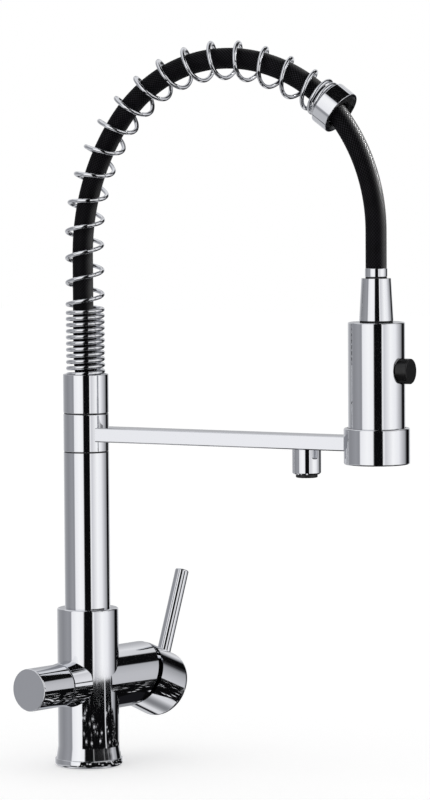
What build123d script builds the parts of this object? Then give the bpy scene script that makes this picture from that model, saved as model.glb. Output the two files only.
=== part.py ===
from build123d import *
import os
from math import asin, ceil, cos, degrees, pi, radians, sin, sqrt

# Kitchen mixer tap: a column with a lever on one side and a filtered-water knob on the other,
# an arm that swivels and holds the spray head in a ring, and a sprung hose arch over it all.
# Millimetres, +Z up. The origin is on the worktop, on the column's axis; +X runs along the arm.

# Driving dimensions
worktop = 0.0
reach = 242.5            # column axis to spray head axis
arch_rise = 277.6        # arm up to the spring's centreline at its highest point
column_radius = 17.0
body_radius = 23.0
body_top = 119.0
collar_drop = 12.9       # arm down to the collar's lower face
collar_height = 28.0
arm_height = 249.6       # middle of the arm
valve_height = 63.5      # axis of the lever housing and of the filter branch
lever_heading = 79.2     # degrees from +X, seen from above
cartridge_tilt = 22.5    # degrees that the cartridge's axis dips outwards

# Fits that many pieces share
overrun = 5.0            # how far a cutting tool runs past a face
running_clearance = 0.05
seat_clearance = 0.1
loose_clearance = 0.4
slide_ring_height = 0.8
slide_ring_inset = 0.6
edge_round = 0.8
quarter = 90.0
half_turn = 180.0
full_turn = 360.0

# Foot
foot_radius = 25.4
foot_height = 6.0
foot_lift = 0.2          # the gasket stands proud of the foot by this
gasket_radius = 22.4
gasket_height = 1.0
spigot_radius = 19.8
foot_edge = 0.5
foot_heel = 2.6          # rounding of the foot's lower edge

# Valve body
body_shoulder = 1.5
flare_radius = 24.4      # where the body widens just above the foot
flare_height = 9.0
inlet_radius = 4.5
inlet_depth = 14.0
inlet_pitch_radius = 11.6
inlet_spread = 60.0      # degrees from the lever's side to the hot and to the cold inlet
stud_radius = 3.4
stud_depth = 14.0
duct_radius = 2.6
chamber_radius = 7.2
chamber_floor = 75.4
mixed_duct_height = 78.6 # middle of the duct from the cartridge to the chamber
column_socket = 8.0
side_duct_offset = 7.6
side_duct_drop = 4.0
mixed_duct_rise = 6.0
filter_duct_radius = 2.0
filter_duct_offset = 12.2

# Column and risers
column_wall = 1.5
riser_radius = 8.0
riser_wall = 1.1
riser_foot = 12.0        # how deep the mixed riser stands in the body
filter_riser_radius = 2.6
filter_riser_wall = 0.6
filter_riser_foot = 6.0

# Swivel spindle
spindle_root = 16.0      # length of spindle inside the column
spindle_radius = 13.0
spindle_bore = 6.2
spindle_duct_radius = 1.6
spindle_duct_offset = 10.4
riser_socket = 8.0
spindle_neck_radius = 11.0
spindle_neck_rise = 12.0
swivel_groove_height = 6.0
swivel_groove_depth = 1.0
seal_wire = 1.2
seal_spacing = 9.0
clip_height = 1.0
clip_radius = 13.0
clip_groove = 1.0

# Collar, arm and filter spout
arm_width = 21.0
arm_depth = 10.6
arm_wall = 1.5
arm_edge = 1.0
stub_length = 12.0
collar_edge = 0.5
filter_tube_radius = 2.6
filter_tube_wall = 0.6
spout_back = 57.1        # head axis back to the spout's axis
spout_radius = 10.6
spout_length = 18.3
spout_chamfer = 1.0
spout_neck_radius = 6.0
spout_neck_height = 6.0
aerator_radius = 8.0
aerator_drop = 2.6
aerator_height = 9.0
aerator_holes = 6
aerator_hole_radius = 1.0
aerator_hole_circle = 4.6

# Docking ring
dock_radius = 24.0
dock_drop = 14.5         # arm down to the ring's lower face
dock_height = 26.3
dock_gap = 0.6           # between the head and the ring's bore, all round
dock_lip = 4.9
dock_lip_radius = 18.4
liner_height = 1.0
dock_edge = 1.2

# Spring ferrule, spring and end cap
ferrule_height = 28.8
ferrule_floor = 4.0
ferrule_edge = 0.4
spring_seat = 6.6        # depth of the spring's seat in the ferrule
spring_radius = 13.1     # to the middle of the wire
spring_clearance = 0.3
wire_radius = 1.6
tight_turns = 11.5
tight_pitch = 4.6
ramp_turns = 1.0
early_turns = 3.0
early_pitch_share = 0.853 # pitch where the turns open, as a share of the open turns' pitch
open_turns = 12.44
end_turns = 3.4
end_pitch = 4.2
spring_start_angle = 200.0
shoulder_turn = 57.0     # first, widest arc of the arch
crown_radius_share = 0.4371 # of the reach, as for the arch's other radii
crown_turn = 50.0
fall_radius_share = 0.7258
fall_turn = 19.0
cap_back = 27.8          # head axis back to the middle of the cap's mouth
cap_length = 13.4
cap_lead = 1.1           # the spring runs straight this far before the cap
cap_wall = 1.7
cap_edge = 0.4
bush_height = 4.0
bush_inset = 1.2
bush_bore = 10.4
bush_drop = 1.4
cap_screw_radius = 1.5
cap_screw_length = 1.3

# Hose
hose_radius = 7.6
hose_wall = 2.8
hose_nut_height = 9.0
hose_nut_radius = 10.0
hose_nut_sides = 6
hose_plug_depth = 10.0
hose_socket = 2.6
hose_out = 1.29          # how far the hose's crown lies outside the spring's centreline
hose_crest_past = 1.44   # how far its crest lies beyond the spring's
hose_sway = 1.72         # how far it leans away from the head above its nut
hose_sway_height = 24.0
hose_first_turn = 36.6
hose_crown_share = 0.4616 # crown radius as a share of the reach
hose_fall_turn = 34.0
hose_exit_turn = 49.4    # how far below level the hose points where it leaves the cap
hose_tuck = 3.2          # the free hose starts this far inside the cap's mouth
hose_sink = 2.6          # how far below the cap's axis the hose crosses the mouth

# Spray head
head_radius = 20.65
head_length = 96.7
head_wall = 2.0
head_roof = 3.0
head_edge = 1.0
cone_top_radius = 10.7
cone_base_radius = 12.4
cone_height = 31.6
cone_gap = 1.2           # joint line under the cone
cone_thread_radius = 9.0
cone_thread_depth = 8.0
cone_bore = 6.0
swivel_bore = 6.4
swivel_depth = 14.0
crimp_radius = 8.1
crimp_height = 6.2
crimp_gap = 1.1          # the swivel's open joint
crimp_edge = 0.5
valve_radius = 5.9
valve_length = 12.0
core_radius = 14.0
core_rise = 14.0
core_bore = 4.5
face_radius = 17.8
face_drop = 4.6
face_height = 9.0
spray_hole_radius = 0.8
spray_hole_circle = 14.6
spray_holes = 24
head_aerator_radius = 10.5
button_drop = 35.0       # head's top down to the button's axis
button_radius = 9.2
button_reach = 27.7      # head axis to the button's face
button_back = 19.2
button_stem_radius = 2.5
button_stem_depth = 7.0
button_spring_radius = 4.6
button_spring_wire = 0.35
button_spring_turns = 3.0

# Lever and cartridge, along the cartridge's axis from the rim of the cap
lever_rim = 57.0         # column axis to the middle of the cap's rim
housing_radius = 23.8
housing_gap = 4.3        # the cap needs it to tilt both ways
pivot_depth = 9.0
pocket_depth = 24.0
pocket_radius = 13.2
nut_seat_radius = 19.8
nut_seat_depth = 8.0
nut_recess = 1.4
nut_bore = 9.0
cavity_radius = 10.45
cavity_depth = 20.0
disc_radius = 10.2
disc_height = 2.8
moving_disc_radius = 8.4
rotor_height = 5.0
rotor_top = 8.4
rotor_hole = 5.2
pin_radius = 1.0
pin_half_length = 8.0
stem_tail_radius = 3.0
stem_tail = 4.0
stem_radius = 3.5
stem_top = 19.0
cap_rim_radius = 24.6
cap_end_radius = 25.3
lever_cap_length = 33.8
lever_cap_wall = 1.0
lever_cap_end_wall = 3.0
lever_cap_round = 5.8
hub_radius = 7.5
hub_start = 6.0
stick_radius = 5.25
stick_place = 24.8
stick_lean = 2.0         # degrees that the stick leans back towards the body
stick_length = 64.0
stick_root_radius = 3.9
stick_root = 7.0
stick_round = 1.2
lever_screw_radius = 1.5
lever_screw_length = 3.6

# Filter knob, along its own axis from the column's axis
branch_end = 33.0
branch_radius = 16.2
branch_root_radius = 18.4
branch_root = 16.0
knob_gap = 0.6
knob_end = 67.1
knob_radius = 15.9
knob_wall = 2.3
knob_end_wall = 7.0
knob_hub_radius = 6.5
knob_hub_length = 16.0
headwork_start = 9.5
headwork_radius = 9.0
headwork_head_radius = 11.0
headwork_head_height = 7.0
filter_spindle_radius = 4.0
filter_spindle_start = 18.0
knob_screw_radius = 1.5
knob_screw_length = 4.0

# Places that follow from the sizes above
arch_top = arm_height + arch_rise
collar_bottom = arm_height - collar_drop
dock_bottom = arm_height - dock_drop
spout_offset = reach - spout_back
crown_radius = reach * crown_radius_share
fall_radius = reach * fall_radius_share
hose_crown_radius = reach * hose_crown_share
collar_top = collar_bottom + collar_height
column_top = collar_bottom - slide_ring_height
ferrule_bottom = collar_top + slide_ring_height
ferrule_top = ferrule_bottom + ferrule_height
clip_bottom = ferrule_bottom + ferrule_floor + running_clearance
spring_seat_floor = ferrule_top - spring_seat
spring_outer = spring_radius + wire_radius
cap_radius = spring_outer + spring_clearance + cap_wall
dock_top = dock_bottom + dock_height
liner_bottom = dock_bottom + dock_lip
head_bottom = liner_bottom + liner_height + seat_clearance
head_top = head_bottom + head_length
button_height = head_top - button_drop
cone_top = head_top + cone_height
arm_bottom = arm_height - arm_depth / 2
cap_heading = quarter - shoulder_turn - crown_turn - fall_turn
lowest = (Align.CENTER, Align.CENTER, Align.MIN)
parts = {}


def rod(radius, low, high):
    """A cylinder on the Z axis from one height to another."""
    return Pos(0, 0, low) * Cylinder(radius, high - low, align=lowest)


def tube(outer, inner, low, high):
    """A pipe on the Z axis."""
    return rod(outer, low, high) - rod(inner, low, high)


def cone(low_radius, high_radius, low, high):
    """A cone on the Z axis."""
    return Pos(0, 0, low) * Cone(low_radius, high_radius, high - low, align=lowest)


def block(length, width, height):
    """A bar along +X that starts at the Z axis, centred in Y and Z."""
    return Box(length, width, height, align=(Align.MIN, Align.CENTER, Align.CENTER))


def at(x, y, z=worktop):
    """A place in the part's frame."""
    return Pos(x, y, z)


def along_x(shape, x=0.0, z=0.0):
    """Lay a shape that was built on the Z axis along +X."""
    return Pos(x, 0, z) * Rot(0, quarter, 0) * shape


def spread(count, radius, shape, start=0.0):
    """Copies of a shape on a circle about the Z axis."""
    return [Rot(0, 0, start + full_turn * i / count) * Pos(radius, 0, 0) * shape for i in range(count)]


def round_ends(shape, radius, axis=Axis.Z, ends=(0, -1)):
    """Round the outer edges of a turned shape at the named ends of an axis."""
    for end in ends:
        face = shape.faces().sort_by(axis)[end]
        rim = face.edges().filter_by(GeomType.CIRCLE).sort_by(SortBy.LENGTH)[-1:]
        shape = fillet(rim, radius)
    return shape


class Route:
    """A path in the XZ plane: straight runs and arcs that turn right, each tangent to the last.

    A leg is (size, turn): a straight run of that size where turn is 0, or else an arc of that
    radius through that many degrees. Headings are degrees above +X.
    """

    def __init__(self, start, heading, legs):
        self.legs = []
        for size, turn in legs:
            run = size * radians(turn) if turn else size
            self.legs.append((start, heading, size, turn, run))
            start, heading = self.step(start, heading, size, turn, run)
        self.end, self.end_heading = start, heading
        self.length = sum(leg[-1] for leg in self.legs)

    @staticmethod
    def step(start, heading, size, turn, run):
        """The place and the heading after a run along one leg."""
        old = radians(heading)
        if not turn:
            return (start[0] + run * cos(old), start[1] + run * sin(old)), heading
        new = old - run / size
        x = start[0] + size * (sin(old) - sin(new))
        z = start[1] + size * (cos(new) - cos(old))
        return (x, z), degrees(new)

    def place(self, run):
        """The place and the heading at a distance along the route."""
        for start, heading, size, turn, length in self.legs[:-1]:
            if run <= length:
                return self.step(start, heading, size, turn, run)
            run -= length
        return self.step(*self.legs[-1][:4], run)

    def wire(self):
        """The route as a wire of lines and arcs."""
        edges = []
        for start, heading, size, turn, run in self.legs:
            middle, end = (self.step(start, heading, size, turn, share * run)[0] for share in (1 / 2, 1))
            a, b, c = (Vector(x, 0, z) for x, z in (start, middle, end))
            edges.append(ThreePointArc(a, b, c) if turn else Line(a, c))
        return Wire(edges)

    def pipe(self, outer, inner):
        """A pipe swept along the route."""
        x, z = self.legs[0][0]
        heading = radians(self.legs[0][1])
        plane = Plane(origin=(x, 0, z), x_dir=(0, 1, 0), z_dir=(cos(heading), 0, sin(heading)))
        pipe = sweep(plane * (Circle(outer) - Circle(inner)), path=self.wire())
        wanted = pi * (outer ** 2 - inner ** 2) * self.length
        print(f"pipe {self.length:.1f} mm long, volume {pipe.volume / wanted:.4f} of section x length")
        return pipe


class Coil:
    """A wire wound to the right round a route; gears says how far each number of turns climbs."""

    def __init__(self, route, radius, wire, gears, start_angle):
        self.route, self.radius, self.wire_radius = route, radius, wire
        self.gears, self.start_angle = gears, start_angle
        self.turns = sum(turns for turns, first, last in gears)
        self.climb = sum(turns * (first + last) / 2 for turns, first, last in gears)

    def advance(self, turn):
        """Distance along the route after so many turns; the pitch changes evenly in each gear."""
        run = 0.0
        for turns, first, last in self.gears:
            done = min(turn, turns)
            run += done * first + (last - first) * done ** 2 / (2 * turns)
            turn -= done
            if turn <= 0:
                break
        return run

    def point(self, turn):
        """The middle of the wire after so many turns."""
        (x, z), heading = self.route.place(self.advance(turn))
        angle = radians(self.start_angle + full_turn * turn)
        side, along = self.radius * cos(angle), radians(heading)
        return Vector(x + side * sin(along), self.radius * sin(angle), z - side * cos(along))

    def heading(self, turn):
        """The wire's direction after so many turns."""
        small_share = 1 / 2000
        before, after = max(turn - small_share, 0), min(turn + small_share, self.turns)
        return (self.point(after) - self.point(before)).normalized()

    def solid(self):
        """The wire swept on two arcs to each quarter turn, with straight ends of one wire's width."""
        steps = ceil(4 * self.turns)
        spots = [self.turns * i / steps for i in range(steps + 1)]
        points = [self.point(spot) for spot in spots]
        headings = [self.heading(spot) for spot in spots]
        tail = 2 * self.wire_radius
        edges = [Line(points[0] - headings[0] * tail, points[0])]
        for start, end, leave, arrive in zip(points, points[1:], headings, headings[1:]):
            gap = end - start
            both = leave + arrive
            bend = 2 * (1 - leave.dot(arrive))
            reach_out = (sqrt(gap.dot(both) ** 2 + bend * gap.dot(gap)) - gap.dot(both)) / bend
            reach_out = min(reach_out, gap.length)
            knot = (start + end + (leave - arrive) * reach_out) * (1 / 2)
            through = ((end - arrive * reach_out) - (start + leave * reach_out)).normalized()
            edges.append(TangentArc(start, knot, tangent=leave))
            edges.append(TangentArc(knot, end, tangent=through))
        edges.append(Line(points[-1], points[-1] + headings[-1] * tail))
        section = Plane(origin=edges[0] @ 0, z_dir=headings[0]) * Circle(self.wire_radius)
        return sweep(section, path=Wire(edges))

    def least_gap(self):
        """The least clear distance between the wire and itself, measured on points."""
        per_turn = 24
        marks = [self.point(i / per_turn) for i in range(int(self.turns * per_turn))]
        gaps = [
            (marks[j] - mark).length
            for i, mark in enumerate(marks)
            for j in range(i + per_turn // 2, min(i + 2 * per_turn, len(marks)))
        ]
        return min(gaps) - 2 * self.wire_radius


def arch_route():
    """The spring's centreline: up from its seat, over the arch and into the end cap.

    The first arc's radius and the height where it starts follow from the reach and the arch's top.
    """
    first = radians(shoulder_turn)
    crest = radians(quarter - shoulder_turn)
    past = radians(crown_turn) - crest
    fall_end = past + radians(fall_turn)
    width = crown_radius * (sin(crest) + sin(past)) + fall_radius * (sin(fall_end) - sin(past))
    end_x = reach - cap_back - (cap_length + cap_lead) * cos(fall_end)
    shoulder_radius = (end_x - width) / (1 - cos(first))
    start = arch_top - crown_radius * (1 - cos(crest)) - shoulder_radius * sin(first)
    bottom = spring_seat_floor + wire_radius + seat_clearance
    run_in = cap_lead + cap_length - bush_inset - bush_height - wire_radius - seat_clearance
    route = Route((0, bottom), quarter, [
        (start - bottom, 0), (shoulder_radius, shoulder_turn), (crown_radius, crown_turn),
        (fall_radius, fall_turn), (run_in, 0),
    ])
    crest_x = shoulder_radius * (1 - cos(first)) + crown_radius * sin(crest)
    print(f"arch: first radius {shoulder_radius:.1f}, starts to bend at {start:.1f}, crest at {crest_x:.1f}")
    return route, crest_x


spring_route, spring_crest = arch_route()
cap_dip = radians(-cap_heading)
cap_start = spring_route.place(spring_route.length - spring_route.legs[-1][-1])[0]
cap_run = cap_lead + cap_length
cap_mouth = (cap_start[0] + cap_run * cos(cap_dip), cap_start[1] - cap_run * sin(cap_dip))
cap_place = Plane(
    origin=(cap_mouth[0], 0, cap_mouth[1]), x_dir=(sin(cap_dip), 0, cos(cap_dip)),
    z_dir=(cos(cap_dip), 0, -sin(cap_dip)),
)


def hose_routes():
    """The hose's centreline in two stretches: inside the arch, and free from the cap to the head.

    It lies a little outside the spring's centreline at the crest. Its radii follow from where the
    arch and the head are; the free stretch is one arc and then hangs straight down.
    """
    out = radians(hose_exit_turn)
    early = radians(hose_fall_turn)
    exit_x = cap_mouth[0] - hose_sink * sin(cap_dip) - hose_tuck * cos(out)
    exit_z = cap_mouth[1] - hose_sink * cos(cap_dip) + hose_tuck * sin(out)
    crown = radians(quarter - hose_first_turn)
    crest_x = spring_crest + hose_crest_past
    crest_z = arch_top + hose_out
    first_run = crest_x + hose_sway - hose_crown_radius * sin(crown)
    first_radius = first_run / (1 - cos(radians(hose_first_turn)))
    start = crest_z - hose_crown_radius * (1 - cos(crown)) - first_radius * sin(radians(hose_first_turn))
    across, down = exit_x - crest_x, crest_z - exit_z
    sine, cosine = sin(out) - sin(early), cos(early) - cos(out)
    share = sin(early) * cosine - sine * (1 - cos(early))
    fall_first = (across * cosine - sine * down) / share
    fall_last = (sin(early) * down - (1 - cos(early)) * across) / share
    sway_radius = (hose_sway_height**2 + hose_sway**2) / (4 * hose_sway)
    sway_turn = degrees(asin(hose_sway_height / 2 / sway_radius))
    straight = hose_socket + seat_clearance
    inside = Route((0, hose_foot), quarter, [
        (straight, 0), (-sway_radius, -sway_turn), (sway_radius, sway_turn),
        (start - hose_foot - straight - hose_sway_height, 0), (first_radius, hose_first_turn),
        (hose_crown_radius, quarter - hose_first_turn), (fall_first, hose_fall_turn),
        (fall_last, hose_exit_turn - hose_fall_turn),
    ])
    drop_turn = quarter - hose_exit_turn
    drop_radius = (reach - exit_x) / (1 - cos(radians(drop_turn)))
    hang = exit_z - drop_radius * sin(radians(drop_turn)) - crimp_socket
    free = Route((exit_x, exit_z), -hose_exit_turn, [(drop_radius, drop_turn), (hang, 0)])
    print("hose radii", *(round(r, 1) for r in (first_radius, fall_first, fall_last, drop_radius)))
    return inside, free


hose_nut_bottom = ferrule_bottom + spindle_neck_rise + seat_clearance
hose_nut_top = hose_nut_bottom + hose_nut_height
hose_foot = hose_nut_top - hose_socket
crimp_bottom = cone_top + crimp_gap
crimp_top = crimp_bottom + crimp_height
crimp_socket = crimp_top - hose_socket
hose_inside, hose_free = hose_routes()

# The lever's parts stand on the cartridge's axis, the knob's on the valve's level axis
lever_turned = radians(lever_heading)
tilt = radians(cartridge_tilt)
lever_way = Vector(cos(lever_turned), sin(lever_turned), 0)
up = Vector(0, 0, 1)
lever_axis = lever_way * cos(tilt) - up * sin(tilt)
lever_place = Plane(
    origin=lever_way * lever_rim + up * valve_height, x_dir=lever_way * sin(tilt) + up * cos(tilt),
    z_dir=lever_axis,
)
housing_place = Plane(origin=up * valve_height, x_dir=up, z_dir=lever_way)
knob_place = Plane(origin=up * valve_height, x_dir=up, z_dir=lever_way * -1)
pivot = lever_place.origin - lever_axis * pivot_depth


def foot():
    """The chrome foot and the gasket under it."""
    ring = tube(foot_radius, spigot_radius + seat_clearance, foot_lift, foot_height)
    ring = round_ends(ring, foot_edge, ends=(-1,))
    ring = round_ends(ring, foot_heel, ends=(0,))
    ring -= rod(gasket_radius + seat_clearance, worktop, gasket_height)
    parts["base_ring"] = ring
    parts["base_gasket"] = tube(gasket_radius, spigot_radius + loose_clearance, worktop, gasket_height)


def inlet_places():
    """Hot, cold and filtered inlets, by their angle from the lever's side."""
    angles = (inlet_spread, -inlet_spread, half_turn)
    return [Rot(0, 0, lever_heading + angle) * Pos(inlet_pitch_radius, 0, 0) for angle in angles]


def valve_body():
    """One brass casting: upright cylinder, lever housing, filter branch, and the ducts inside."""
    body = round_ends(rod(body_radius, foot_height, body_top), body_shoulder, ends=(-1,))
    body += cone(flare_radius, body_radius, foot_height, foot_height + flare_height)
    body += rod(spigot_radius, worktop, foot_height)
    housing = housing_place * rod(housing_radius, 0, lever_rim + housing_radius)
    beyond = lever_place * rod(lever_rim, -housing_gap, lever_rim + housing_radius)
    body += housing - beyond
    body += knob_place * cone(branch_root_radius, branch_radius, branch_root, branch_end)
    body -= rod(column_radius + running_clearance, body_top - column_socket, body_top + overrun)
    body -= rod(chamber_radius, chamber_floor, body_top)
    body -= rod(riser_radius + running_clearance, body_top - column_socket - riser_foot, body_top)
    body -= lever_place * rod(pocket_radius, -pocket_depth, overrun)
    body -= lever_place * rod(nut_seat_radius, -nut_seat_depth, overrun)
    body -= knob_place * rod(headwork_radius + seat_clearance, headwork_start, branch_end + overrun)
    body -= rod(stud_radius, -overrun, stud_depth)
    for inlet in inlet_places():
        body -= inlet * rod(inlet_radius, -overrun, inlet_depth)
    hot, cold, filtered = inlet_places()
    duct_top = valve_height + side_duct_drop
    for inlet, side in ((hot, 1), (cold, -1)):
        body -= inlet * rod(duct_radius, 0, duct_top)
        level = Plane(origin=up * duct_top, x_dir=up, z_dir=lever_way)
        body -= level * Pos(0, -side * side_duct_offset, 0) * rod(duct_radius, 0, lever_rim - pocket_depth)
    body -= filtered * rod(duct_radius, 0, valve_height - headwork_radius + duct_radius)
    mixed = Plane(origin=up * mixed_duct_height, x_dir=up, z_dir=lever_way)
    body -= mixed * rod(duct_radius, 0, lever_rim - pocket_depth)
    column_side = Rot(0, 0, lever_heading + half_turn) * Pos(filter_duct_offset, 0, 0)
    body -= column_side * rod(filter_duct_radius, valve_height, body_top)
    socket_floor = body_top - column_socket - filter_riser_foot
    body -= column_side * rod(filter_riser_radius + running_clearance, socket_floor, body_top)
    parts["valve_body"] = body


def column():
    """The column tube with the two risers inside."""
    foot_of_tube = body_top - column_socket
    parts["column_tube"] = tube(column_radius, column_radius - column_wall, foot_of_tube, column_top)
    riser_top = column_top - spindle_root + riser_socket
    low = foot_of_tube - riser_foot
    parts["mixed_riser"] = tube(riser_radius, riser_radius - riser_wall, low, riser_top)
    side = Rot(0, 0, lever_heading + half_turn) * Pos(filter_duct_offset, 0, 0)
    thin = tube(filter_riser_radius, filter_riser_radius - filter_riser_wall,
                foot_of_tube - filter_riser_foot, riser_top)
    parts["filter_riser"] = side * thin


def swivel():
    """The fixed spindle that the collar turns on, its seals, its clip and the lower slide ring."""
    low = column_top - spindle_root
    neck_top = ferrule_bottom + spindle_neck_rise
    spindle = rod(column_radius - column_wall - running_clearance, low, column_top)
    spindle += rod(spindle_radius, column_top, ferrule_bottom)
    spindle += rod(spindle_neck_radius, ferrule_bottom, neck_top)
    spindle -= rod(spindle_bore, low - overrun, neck_top + overrun)
    spindle -= rod(riser_radius + running_clearance, low - overrun, low + riser_socket)
    side = Rot(0, 0, lever_heading + half_turn)
    riser_hole = rod(filter_riser_radius + running_clearance, low - overrun, low + riser_socket)
    spindle -= side * Pos(filter_duct_offset, 0, 0) * riser_hole
    spindle -= side * Pos(spindle_duct_offset, 0, 0) * rod(spindle_duct_radius, low, arm_height)
    groove_low = arm_height - swivel_groove_height / 2
    groove_radius = spindle_radius - swivel_groove_depth
    spindle -= tube(spindle_radius + overrun, groove_radius, groove_low, groove_low + swivel_groove_height)
    seals = []
    for height in (arm_height - seal_spacing, arm_height + seal_spacing):
        middle = spindle_radius - seal_wire
        spindle -= tube(spindle_radius + overrun, middle - seal_wire, height - seal_wire, height + seal_wire)
        seals.append(Pos(0, 0, height) * Torus(middle, seal_wire))
    clip_inner = spindle_neck_radius - clip_groove
    spindle -= tube(spindle_neck_radius + overrun, clip_inner, clip_bottom, clip_bottom + clip_height)
    parts["swivel_spindle"] = spindle
    parts["swivel_seals"] = Compound(seals)
    clip = tube(clip_radius, clip_inner + running_clearance, clip_bottom, clip_bottom + clip_height)
    parts["ferrule_clip"] = clip
    ring_radius = column_radius - slide_ring_inset
    ring_bore = spindle_radius + seat_clearance
    parts["lower_slide_ring"] = tube(ring_radius, ring_bore, column_top, collar_bottom)
    parts["upper_slide_ring"] = tube(ring_radius, ring_bore, collar_top, ferrule_bottom)


def arm():
    """Collar, arm bar, docking ring and the filtered water's way to its spout."""
    stub_width = arm_width - 2 * arm_wall - 2 * running_clearance
    stub_depth = arm_depth - 2 * arm_wall - 2 * running_clearance
    collar = rod(column_radius, collar_bottom, collar_top)
    collar = round_ends(collar, collar_edge)
    stub = block(column_radius + stub_length, stub_width, stub_depth)
    stub = fillet(stub.edges().filter_by(Axis.X), arm_edge)
    collar += Pos(0, 0, arm_height) * stub
    collar -= rod(spindle_radius + running_clearance, collar_bottom - overrun, collar_top + overrun)
    duct = rod(filter_tube_radius - filter_tube_wall, 0, column_radius + stub_length + overrun)
    collar -= along_x(duct, 0, arm_height)
    tube_start = column_radius + stub_length / 2
    tube_hole = filter_tube_radius + running_clearance
    collar -= along_x(rod(tube_hole, tube_start, column_radius + stub_length + overrun), 0, arm_height)
    parts["swivel_collar"] = collar

    ring_bore = head_radius + dock_gap
    dock = round_ends(rod(dock_radius, dock_bottom, dock_top), dock_edge)
    dock_stub = Pos(-dock_radius - stub_length, 0, arm_height - worktop) * stub
    dock += dock_stub - rod(dock_radius, dock_bottom, dock_top)
    dock -= rod(ring_bore, liner_bottom, dock_top + overrun)
    dock -= rod(dock_lip_radius, dock_bottom - overrun, dock_top)
    parts["docking_ring"] = at(reach, 0) * dock
    liner = tube(ring_bore - seat_clearance, dock_lip_radius, liner_bottom, liner_bottom + liner_height)
    parts["dock_liner"] = at(reach, 0) * liner

    bar = fillet(block(reach, arm_width, arm_depth).edges().filter_by(Axis.X), arm_edge)
    bar -= block(reach, arm_width - 2 * arm_wall, arm_depth - 2 * arm_wall)
    bar = Pos(0, 0, arm_height) * bar
    bar -= rod(column_radius + running_clearance, collar_bottom, collar_top)
    bar -= at(reach, 0) * rod(dock_radius + running_clearance, dock_bottom, dock_top)
    neck_hole = spout_neck_radius + running_clearance
    bar -= at(spout_offset, 0) * rod(neck_hole, arm_bottom - overrun, arm_height)
    parts["arm_bar"] = bar

    spout_bottom = arm_bottom - spout_length
    spout = rod(spout_radius, spout_bottom, arm_bottom)
    spout = chamfer(spout.faces().sort_by(Axis.Z)[0].edges(), spout_chamfer)
    spout += rod(spout_neck_radius, arm_bottom, arm_bottom + arm_wall + spout_neck_height)
    spout -= rod(filter_tube_radius, spout_bottom - overrun, arm_height)
    aerator_seat = spout_bottom + aerator_height - aerator_drop
    spout -= rod(aerator_radius + running_clearance, spout_bottom - overrun, aerator_seat)
    spout -= along_x(rod(tube_hole, 0, spout_radius), -spout_radius, arm_height)
    parts["filter_spout"] = at(spout_offset, 0) * spout
    inside = rod(aerator_radius, spout_bottom - aerator_drop, spout_bottom + aerator_height - aerator_drop)
    inside = round_ends(inside, edge_round, ends=(0,))
    hole = rod(aerator_hole_radius, spout_bottom - aerator_drop - overrun, spout_bottom + aerator_height)
    inside -= spread(aerator_holes, aerator_hole_circle, hole)
    parts["filter_aerator"] = at(spout_offset, 0) * inside
    pipe = tube(filter_tube_radius, filter_tube_radius - filter_tube_wall, tube_start, spout_offset)
    parts["filter_tube"] = along_x(pipe, 0, arm_height)


def arch():
    """Spring ferrule, spring, end cap with its bush and screw, and the hose inside."""
    ferrule = round_ends(rod(column_radius, ferrule_bottom, ferrule_top), ferrule_edge)
    ferrule -= rod(spindle_neck_radius + running_clearance, ferrule_bottom - overrun, ferrule_top)
    ferrule -= rod(clip_radius + seat_clearance, ferrule_bottom + ferrule_floor, ferrule_top)
    ferrule -= rod(spring_outer + spring_clearance, spring_seat_floor, ferrule_top + overrun)
    parts["spring_ferrule"] = ferrule

    open_climb = spring_route.length - tight_turns * tight_pitch - end_turns * end_pitch
    open_climb -= ramp_turns * (tight_pitch + end_pitch) / 2
    weight = open_turns + (early_turns + ramp_turns) * (1 + early_pitch_share) / 2
    open_pitch = open_climb / weight
    early_pitch = open_pitch * early_pitch_share
    gears = [
        (tight_turns, tight_pitch, tight_pitch), (ramp_turns, tight_pitch, early_pitch),
        (early_turns, early_pitch, open_pitch), (open_turns, open_pitch, open_pitch),
        (ramp_turns, open_pitch, end_pitch),
        (end_turns, end_pitch, end_pitch),
    ]
    coil = Coil(spring_route, spring_radius, wire_radius, gears, spring_start_angle)
    print(f"spring: {coil.turns:.1f} turns, open pitch {open_pitch:.1f}, climbs {coil.climb:.1f} of "
          f"{spring_route.length:.1f}, least gap {coil.least_gap():.2f}")
    parts["arch_spring"] = coil.solid()

    bore = spring_outer + spring_clearance
    sleeve = round_ends(rod(cap_radius, -cap_length, 0), cap_edge)
    sleeve -= rod(bore, -cap_length - overrun, overrun)
    screw_way = cap_length - bush_inset - bush_height / 2
    screw_place = Pos(0, 0, screw_way - cap_length) * Rot(0, -quarter, 0)
    sleeve -= screw_place * rod(cap_screw_radius, bore - overrun, cap_radius + overrun)
    parts["spring_end_cap"] = cap_place * sleeve
    parts["end_cap_screw"] = cap_place * screw_place * rod(cap_screw_radius, bore, bore + cap_screw_length)
    bush_top = -bush_inset
    bush = rod(bore - running_clearance, bush_top - bush_height, bush_top)
    bush -= Pos(-bush_drop, 0, 0) * rod(bush_bore, bush_top - bush_height - overrun, overrun)
    parts["end_cap_bush"] = cap_place * bush

    nut = rod(hose_nut_radius, hose_nut_bottom, hose_nut_top)
    hexagon = extrude(RegularPolygon(hose_nut_radius, hose_nut_sides), hose_nut_height)
    nut = nut & (Pos(0, 0, hose_nut_bottom) * hexagon)
    plug = spindle_bore - running_clearance
    nut += rod(plug, hose_nut_bottom - hose_plug_depth, hose_nut_bottom)
    nut -= rod(hose_radius - hose_wall, hose_nut_bottom - hose_plug_depth - overrun, hose_nut_top)
    nut -= rod(hose_radius + running_clearance, hose_foot, hose_nut_top + overrun)
    parts["hose_nut"] = nut
    parts["arch_hose"] = hose_inside.pipe(hose_radius, hose_radius - hose_wall)


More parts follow.
